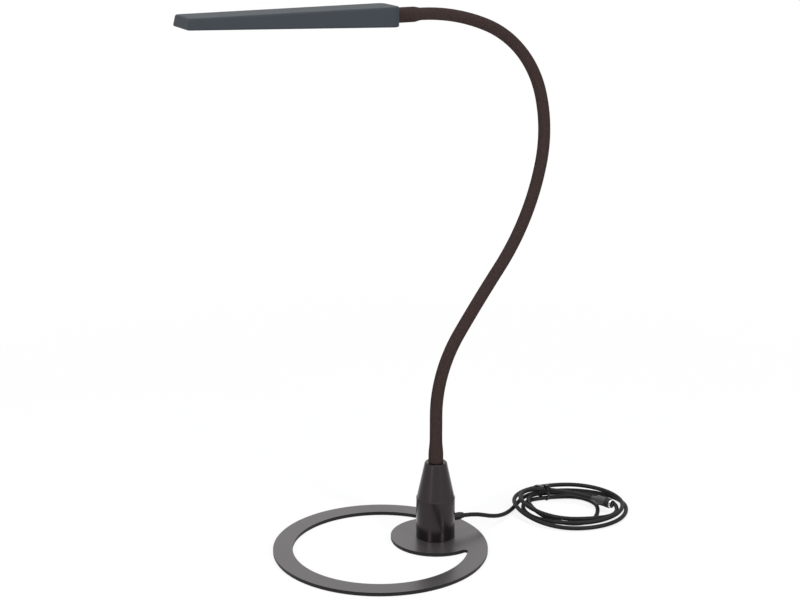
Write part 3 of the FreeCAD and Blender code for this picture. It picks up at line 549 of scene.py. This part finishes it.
class LAMP_OT_cord(bpy.types.Operator):
    """Lay the cord from the post's grommet through its coil to the plug"""

    bl_idname = "lamp.cord"
    bl_label = "Cord"

    def execute(self, context):
        settings = context.scene.lamp_cord
        points = cord_route()
        data = bpy.data.curves.new("power_cord", "CURVE")
        data.dimensions = "3D"
        data.bevel_depth = settings.diameter / 2
        data.bevel_resolution = 5
        data.resolution_u = 4
        data.use_fill_caps = True
        spline = data.splines.new("NURBS")
        spline.points.add(len(points) - 1)
        for spot, point in zip(spline.points, points):
            spot.co = (*(point * MM), 1.0)
        spline.order_u = 3
        spline.use_endpoint_u = True
        cord = bpy.data.objects.new("power_cord", data)
        context.scene.collection.objects.link(cord)
        jacket = Shader("cord_jacket", settings.colour, 0.5, 0.0, 0.16)
        noise = jacket.noise(700.0, 2.0)
        jacket.bump(noise, "Fac", 0.05, 0.0002)
        data.materials.append(jacket.material)
        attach(cord, "base")
        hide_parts("cord_lead", "cord_coil")
        tie = self.tie(cord, settings)
        black = brushed("moulded_black", settings.colour, 0.5, 0.0, 0.05, scale=1500.0, specular=0.25)
        paint_nodes(black, "cord_grommet", "plug_collar_ring", "plug_core")
        grey = brushed("plug_grey", settings.plug, 0.38, 0.0, 0.05, scale=1500.0)
        paint_nodes(grey, "plug_body")
        bright = brushed("plug_plating", (0.75, 0.75, 0.77), 0.15, 1.0, 0.03)
        paint_nodes(bright, "plug_shell_tube", "plug_pins")
        return {"FINISHED"}

    def crossings(self, cord):
        """Where the cord's own line crosses the upright half plane of the tie: reaches and heights."""
        line = cord.copy()
        line.data = cord.data.copy()
        line.data.bevel_depth = 0.0
        bpy.context.scene.collection.objects.link(line)
        bpy.context.view_layer.update()
        seen = line.evaluated_get(bpy.context.evaluated_depsgraph_get())
        spots = [vertex.co.copy() for vertex in bpy.data.meshes.new_from_object(seen).vertices]
        bpy.data.objects.remove(line)
        centre = Vector((*COIL_CENTRE, 0.0)) * MM
        out = heading(TIE_TURN)
        across = UP.cross(out)
        found = []
        for begin, end in zip(spots, spots[1:]):
            sides = (begin - centre).dot(across), (end - centre).dot(across)
            if sides[0] * sides[1] <= 0 and (begin - centre).dot(out) > 0:
                point = begin.lerp(end, sides[0] / (sides[0] - sides[1])) - centre
                found.append((point.dot(out), point.z))
        return found

    def tie(self, cord, settings):
        """A nylon band drawn tight round the bundle of turns, with its head and cut tail on top."""
        turns = self.crossings(cord)
        centre = Vector((*COIL_CENTRE, 0.0)) * MM
        out = heading(TIE_TURN)
        across = UP.cross(out)
        steps = TIE_STEPS

        def loop(grow, side):
            """The tight outline round all the turns at a distance from their middle lines."""
            spots = []
            for k in range(steps):
                angle = math.tau * k / steps
                aim = (math.cos(angle), math.sin(angle))
                reach, height = max(turns, key=lambda turn: turn[0] * aim[0] + turn[1] * aim[1])
                lift = max(height + grow * aim[1], TIE_FLOOR * MM + settings.tie_thick - (grow - inner))
                spots.append(centre + out * (reach + grow * aim[0]) + UP * lift + across * side)
            return spots

        inner = settings.diameter / 2 + TIE_ROOM * MM
        outer = inner + settings.tie_thick
        half = settings.tie_wide / 2
        rings = [loop(inner, -half), loop(outer, -half), loop(outer, half), loop(inner, half)]
        faces = [(a * steps + k, a * steps + (k + 1) % steps, b * steps + (k + 1) % steps, b * steps + k)
                 for a, b in ((0, 1), (1, 2), (2, 3), (3, 0)) for k in range(steps)]
        band = mesh_object("tie_band", [spot for ring in rings for spot in ring], faces)
        reach, height = max(turns, key=lambda turn: turn[1])
        top = height + inner
        long, tall = settings.tie_head / 2, 0.65 * settings.tie_head
        tail = settings.tie_thick / 2
        parts = []
        for name, near, far, wide, low, high in (
                ("tie_head", reach - long, reach + long, long, top, top + tall),
                ("tie_tail", reach - 2.2 * long, reach - long, half, top + tall / 2 - tail,
                 top + tall / 2 + tail)):
            corners = [(near, -wide), (far, -wide), (far, wide), (near, wide)]
            loops = [[centre + out * a + across * b + UP * z for a, b in corners] for z in (low, high)]
            part = prism(name, *loops)
            bevel = part.modifiers.new("edges", "BEVEL")
            bevel.width = 0.2 * settings.tie_thick
            bevel.segments = 2
            parts.append(settled(part))
        piece = joined("tie_band", band, *parts)
        nylon = brushed("tie_nylon", settings.colour, 0.32, 0.0, 0.03, scale=600.0)
        paint(piece, nylon)
        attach(piece, "base")
        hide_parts("cable_tie")
        return piece


# Neck


def sleeve_tree():
    """Geometry nodes that sweep a ribbed ring along the neck's line."""
    tree = bpy.data.node_groups.new("Ribbed Sleeve", "GeometryNodeTree")
    sockets = tree.interface
    sockets.new_socket("Geometry", in_out="OUTPUT", socket_type="NodeSocketGeometry")
    sockets.new_socket("Geometry", in_out="INPUT", socket_type="NodeSocketGeometry")
    sockets.new_socket("Ribs", in_out="INPUT", socket_type="NodeSocketInt")
    sockets.new_socket("Rib Height", in_out="INPUT", socket_type="NodeSocketFloat")
    sockets.new_socket("Material", in_out="INPUT", socket_type="NodeSocketMaterial")
    nodes, links = tree.nodes, tree.links
    group_in = nodes.new("NodeGroupInput")
    group_out = nodes.new("NodeGroupOutput")

    def node(kind, **values):
        made = nodes.new(kind)
        for key, value in values.items():
            setattr(made, key, value)
        return made

    def math_node(operation, first, second=None):
        made = node("ShaderNodeMath", operation=operation)
        for socket, value in ((0, first), (1, second)):
            if value is None:
                continue
            if isinstance(value, (int, float)):
                made.inputs[socket].default_value = value
            else:
                links.new(value, made.inputs[socket])
        return made.outputs["Value"]

    normal = node("GeometryNodeSetCurveNormal", mode="FREE")
    normal.inputs["Normal"].default_value = (0.0, 1.0, 0.0)
    links.new(group_in.outputs["Geometry"], normal.inputs["Curve"])
    along = node("GeometryNodeSplineParameter")
    keep_along = node("GeometryNodeStoreNamedAttribute", data_type="FLOAT", domain="POINT")
    keep_along.inputs["Name"].default_value = "along"
    links.new(normal.outputs["Curve"], keep_along.inputs["Geometry"])
    links.new(along.outputs["Length"], keep_along.inputs["Value"])

    ring = node("GeometryNodeCurvePrimitiveCircle", mode="RADIUS")
    ring.inputs["Radius"].default_value = 1.0
    links.new(math_node("MULTIPLY", group_in.outputs["Ribs"], POINTS_PER_RIB), ring.inputs["Resolution"])
    around = node("GeometryNodeSplineParameter")
    keep_around = node("GeometryNodeStoreNamedAttribute", data_type="FLOAT", domain="POINT")
    keep_around.inputs["Name"].default_value = "around"
    links.new(ring.outputs["Curve"], keep_around.inputs["Geometry"])
    links.new(around.outputs["Factor"], keep_around.inputs["Value"])
    wave = math_node("MULTIPLY", math_node("MULTIPLY", around.outputs["Factor"], math.pi),
                     group_in.outputs["Ribs"])
    low = math_node("SUBTRACT", 1.0, math_node("ABSOLUTE", math_node("SINE", wave)))
    scale = math_node("SUBTRACT", 1.0, math_node("MULTIPLY", low, group_in.outputs["Rib Height"]))
    spot = node("GeometryNodeInputPosition")
    scaled = node("ShaderNodeVectorMath", operation="SCALE")
    links.new(spot.outputs["Position"], scaled.inputs[0])
    links.new(scale, scaled.inputs["Scale"])
    shape = node("GeometryNodeSetPosition")
    links.new(keep_around.outputs["Geometry"], shape.inputs["Geometry"])
    links.new(scaled.outputs["Vector"], shape.inputs["Position"])

    sweep = node("GeometryNodeCurveToMesh")
    links.new(keep_along.outputs["Geometry"], sweep.inputs["Curve"])
    links.new(shape.outputs["Geometry"], sweep.inputs["Profile Curve"])
    links.new(node("GeometryNodeInputRadius").outputs["Radius"], sweep.inputs["Scale"])
    real = node("GeometryNodeRealizeInstances")
    links.new(sweep.outputs["Mesh"], real.inputs["Geometry"])
    finish = node("GeometryNodeSetMaterial")
    links.new(real.outputs["Geometry"], finish.inputs["Geometry"])
    links.new(group_in.outputs["Material"], finish.inputs["Material"])
    links.new(finish.outputs["Geometry"], group_out.inputs["Geometry"])
    return tree


def grown(carrier, tree, values):
    """A plain mesh object from a tree's result on a carrier, which is taken away."""
    modifier = carrier.modifiers.new("shape", "NODES")
    modifier.node_group = tree
    names = {item.name: item.identifier for item in tree.interface.items_tree if item.in_out == "INPUT"}
    for name, value in values.items():
        modifier[names[name]] = value
    bpy.context.view_layer.update()
    seen = carrier.evaluated_get(bpy.context.evaluated_depsgraph_get())
    mesh = bpy.data.meshes.new_from_object(seen, preserve_all_data_layers=True)
    name = carrier.name
    bpy.data.objects.remove(carrier)
    piece = bpy.data.objects.new(name, mesh)
    mesh.name = name
    bpy.context.scene.collection.objects.link(piece)
    return piece


def wrap_uv(piece, begin):
    """A UV map from the stored distances: around in turns, along in metres."""
    mesh = piece.data
    around = [item.value for item in mesh.attributes["around"].data]
    along = [item.value for item in mesh.attributes["along"].data]
    layer = mesh.uv_layers.new(name="sleeve")
    for face in mesh.polygons:
        turns = [around[v] for v in face.vertices]
        wraps = max(turns) - min(turns) > 0.5
        for loop, vertex in zip(face.loop_indices, face.vertices):
            turn = around[vertex]
            layer.data[loop].uv = (turn + 1.0 if wraps and turn < 0.5 else turn, begin + along[vertex])
    for name in ("around", "along"):
        mesh.attributes.remove(mesh.attributes[name])


class LAMP_OT_neck(bpy.types.Operator):
    """Sweep the ribbed textile sleeve along the neck, one piece across each joint"""

    bl_idname = "lamp.neck"
    bl_label = "Textile neck"

    def execute(self, context):
        settings = context.scene.lamp_neck
        stations = neck_stations()
        whole = stations[-1][0]
        cuts = [0.0, FOOT_STIFF, *link_middles()[:-1], whole - HEAD_STRAIGHT, whole]
        textile = self.textile(settings)
        tree = sleeve_tree()
        for number, (begin, end) in enumerate(zip(cuts, cuts[1:])):
            name = "sleeve_%d" % number
            spots = [s for s in stations if begin + STATION_MARGIN < s[0] < end - STATION_MARGIN]
            spots = [self.at(stations, begin), *spots, self.at(stations, end)]
            piece = self.sweep(name, spots, whole, tree, textile, settings)
            wrap_uv(piece, begin * MM)
            shade_smooth(piece)
            if number == 0:
                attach(piece, "base")
                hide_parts("sleeve_foot")
            elif number == len(cuts) - 2:
                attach(piece, "head")
                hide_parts("sleeve_top")
            else:
                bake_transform(piece)
                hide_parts("sleeve_bend_%d" % number)
        steel = brushed("link_steel", (0.35, 0.35, 0.36), 0.35, 1.0, 0.05)
        paint_nodes(steel, *["core_link_%d" % i for i in range(7)])
        brass = brushed("ferrule_brass", (0.62, 0.5, 0.26), 0.3, 1.0, 0.04)
        paint_nodes(brass, "ferrule_foot_tube", "ferrule_head_tube")
        return {"FINISHED"}

    def at(self, stations, far):
        for before, after in zip(stations, stations[1:]):
            if before[0] <= far <= after[0]:
                share = (far - before[0]) / (after[0] - before[0])
                return far, before[1].lerp(after[1], share)
        raise RuntimeError("no neck station at %.1f mm" % far)

    def radius(self, far, whole, settings):
        """The sleeve's radius: widest at both ends, with a taper beside each."""
        plain = settings.low_radius + (settings.high_radius - settings.low_radius) * far / whole
        foot = smooth_step((far - FOOT_COLLAR) / FOOT_TAPER)
        top = smooth_step((whole - HEAD_COLLAR - far) / (HEAD_STRAIGHT - HEAD_COLLAR))
        return (plain + (FOOT_RADIUS * MM - plain) * (1 - foot) + (TOP_RADIUS * MM - plain) * (1 - top))

    def sweep(self, name, spots, whole, tree, textile, settings):
        data = bpy.data.curves.new(name, "CURVE")
        data.dimensions = "3D"
        spline = data.splines.new("POLY")
        spline.points.add(len(spots) - 1)
        for spot, (far, point) in zip(spline.points, spots):
            spot.co = (*(point * MM), 1.0)
            spot.radius = self.radius(far, whole, settings)
        carrier = bpy.data.objects.new(name, data)
        bpy.context.scene.collection.objects.link(carrier)
        return grown(carrier, tree, {"Ribs": settings.ribs, "Rib Height": settings.rib / settings.low_radius,
                                     "Material": textile})

    def textile(self, settings):
        cloth = Shader("neck_textile", settings.light, 0.85, 0.0, 0.08)
        place = cloth.node("ShaderNodeUVMap", uv_map="sleeve")
        weave = cloth.node("ShaderNodeMapping")
        weave.inputs["Scale"].default_value = (60.0, 900.0, 1.0)
        cloth.link(place, "UV", weave, "Vector")
        brick = cloth.node("ShaderNodeTexBrick")
        brick.inputs["Color1"].default_value = (0.9, 0.9, 0.9, 1.0)
        brick.inputs["Color2"].default_value = (0.6, 0.6, 0.6, 1.0)
        brick.inputs["Mortar"].default_value = (0.0, 0.0, 0.0, 1.0)
        brick.inputs["Scale"].default_value = 1.0
        brick.inputs["Mortar Size"].default_value = 0.12
        brick.inputs["Mortar Smooth"].default_value = 0.9
        brick.inputs["Brick Width"].default_value = 1.0
        brick.inputs["Row Height"].default_value = 1.0
        cloth.link(weave, "Vector", brick, "Vector")
        # The mortar lines, the valleys between the threads, take the painted valley shade; the bricks take
        # the threads' own colour.
        cloth.tint(brick, "Color", settings.valley_shade, settings.light, 0.1, 0.8)
        cloth.bump(brick, "Color", 0.6, 0.0004)
        return cloth.material


# Base, post and head


class LAMP_OT_base(bpy.types.Operator):
    """Finish the ring base, its mat, the post and the cone"""

    bl_idname = "lamp.base"
    bl_label = "Base and post"

    def execute(self, context):
        settings = context.scene.lamp_body
        plate = brushed("plate_paint", settings.plate, 0.3, 0.75, 0.04, scale=2500.0, specular=0.3)
        paint_nodes(plate, "base_plate")
        # Painted shade: the plate's side faces get a near-black material, picked by the way they face.
        edge = brushed("plate_side_shade", settings.edge, 0.5, 0.0, 0.05, specular=0.2)
        paint_walls(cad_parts["base_plate"], edge)
        mat = brushed("mat_rubber", (0.02, 0.02, 0.02), 0.8, 0.0, 0.05)
        paint_nodes(mat, "anti_slip_mat")
        bronze = brushed("bronze_black", settings.post, 0.22, 0.95, 0.05, grain=(1, 1, 0.05), scale=1200.0)
        paint_nodes(bronze, "post", "cone")
        steel = brushed("screw_steel", (0.5, 0.5, 0.52), 0.3, 1.0, 0.05)
        paint_nodes(steel, "post_screws", "neck_nut", "head_nut")
        return {"FINISHED"}


class LAMP_OT_head(bpy.types.Operator):
    """Finish the head's housing, its light and its switch"""

    bl_idname = "lamp.head"
    bl_label = "Head"

    def execute(self, context):
        settings = context.scene.lamp_head
        slate = brushed("slate_satin", settings.colour, 0.55, 0.0, 0.05, scale=2500.0, specular=0.1)
        housing = self.housing(settings)
        paint(housing, slate)
        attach(housing, "head")
        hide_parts("head_shell")
        paint_nodes(slate, "rear_cover")
        milky = Shader("milky_diffuser", (0.85, 0.85, 0.83), 0.45)
        milky.shader.inputs["Subsurface Weight"].default_value = 0.2
        milky.shader.inputs["Subsurface Radius"].default_value = (0.002, 0.002, 0.002)
        paint_nodes(milky.material, "diffuser")
        board = brushed("board_white", (0.8, 0.8, 0.78), 0.5, 0.0, 0.03)
        paint_nodes(board, "led_board")
        chip = brushed("chip_yellow", (0.85, 0.7, 0.2), 0.35, 0.0, 0.03)
        paint_nodes(chip, *["led_%d" % i for i in range(1, 11)])
        bare = brushed("bare_aluminium", (0.6, 0.6, 0.62), 0.35, 1.0, 0.05)
        paint_nodes(bare, "heat_spreader")
        black = brushed("switch_black", (0.02, 0.02, 0.02), 0.4, 0.0, 0.03)
        paint_nodes(black, "switch_button", "switch_case")
        return {"FINISHED"}

    def housing(self, settings):
        """A block that tapers to its tip, open below for the light and bored behind for the neck."""
        neck = neck_stations()[-1][1] * MM
        rear, top = neck.x + HEAD_BEHIND * MM, neck.z + HEAD_ABOVE * MM
        tip, half, corner = rear - settings.long, settings.wide / 2, settings.corner
        plan = [(tip, half), (tip, -half)]
        for side, begin in ((-1, -90), (1, 0)):
            for k in range(CORNER_STEPS + 1):
                turn = math.radians(begin + 90 * k / CORNER_STEPS)
                plan.append((rear - corner + corner * math.cos(turn),
                             side * (half - corner) + corner * math.sin(turn)))
        low, high = [], []
        for x, y in plan:
            share = (rear - x) / settings.long
            rake = settings.rake if x == tip else 0.0
            low.append(Vector((x, y, top - settings.rear + (settings.rear - settings.tip) * share)))
            high.append(Vector((x + rake, y, top - settings.fall * share)))
        block = prism("head_housing", low, high)
        bevel = block.modifiers.new("edges", "BEVEL")
        bevel.width = settings.edge
        bevel.segments = 4
        bevel.limit_method = "ANGLE"
        bevel.angle_limit = math.radians(30)
        settled(block)
        carved(block, self.bay(neck.z - HEAD_ABOVE * MM * 2),
               self.bore("sleeve_bore", neck, 0.0, 10.0, TOP_RADIUS + BORE_GAP),
               self.bore("thread_bore", neck, -5.0, 1.0, THREAD_RADIUS + BORE_GAP))
        shade_smooth(block, 35)
        even = block.modifiers.new("even_normals", "WEIGHTED_NORMAL")
        even.keep_sharp = True
        return settled(block)

    def bay(self, floor):
        """The room for the light and the switch, from their own places in the frame."""
        light, cover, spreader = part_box("diffuser"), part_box("rear_cover"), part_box("heat_spreader")
        gap = BAY_GAP * MM
        begin, end, half = light[0].x - gap, cover[1].x + gap, light[1].y + gap
        corners = [(begin, -half), (end, -half), (end, half), (begin, half)]
        return prism("bay", [Vector((x, y, floor)) for x, y in corners],
                     [Vector((x, y, spreader[1].z + gap / 3)) for x, y in corners])

    def bore(self, name, neck, begin, end, radius):
        """A round hole along X from one distance behind the neck's end to another, in mm."""
        turns = [math.tau * k / BORE_STEPS for k in range(BORE_STEPS)]
        ring = [(math.cos(turn), math.sin(turn)) for turn in turns]
        loops = [[neck + Vector((x, radius * a, radius * b)) * MM for a, b in ring] for x in (begin, end)]
        return prism(name, *loops)


class LAMP_PT_panel(bpy.types.Panel):
    """The lamp's operators and settings"""

    bl_label = "Gooseneck Desk Lamp"
    bl_idname = "LAMP_PT_panel"
    bl_space_type = "VIEW_3D"
    bl_region_type = "UI"
    bl_category = "Lamp"

    def draw(self, context):
        for operator in OPERATORS:
            self.layout.operator(operator.bl_idname)
        for name, group in SETTINGS.items():
            box = self.layout.box()
            for prop in group.__annotations__:
                box.prop(getattr(context.scene, name), prop)


SETTINGS = {"lamp_stage": LampStageSettings, "lamp_cord": LampCordSettings, "lamp_neck": LampNeckSettings,
            "lamp_body": LampBodySettings, "lamp_head": LampHeadSettings}
OPERATORS = (LAMP_OT_stage, LAMP_OT_cord, LAMP_OT_neck, LAMP_OT_base, LAMP_OT_head)


def register():
    for cls in (*SETTINGS.values(), *OPERATORS, LAMP_PT_panel):
        bpy.utils.register_class(cls)
    for name, group in SETTINGS.items():
        setattr(bpy.types.Scene, name, bpy.props.PointerProperty(type=group))


def unregister():
    for name in SETTINGS:
        delattr(bpy.types.Scene, name)
    for cls in reversed((*SETTINGS.values(), *OPERATORS, LAMP_PT_panel)):
        bpy.utils.unregister_class(cls)


def main():
    register()
    for operator in OPERATORS:
        group, name = operator.bl_idname.split(".")
        getattr(getattr(bpy.ops, group), name)()


if __name__ == "__main__":
    main()
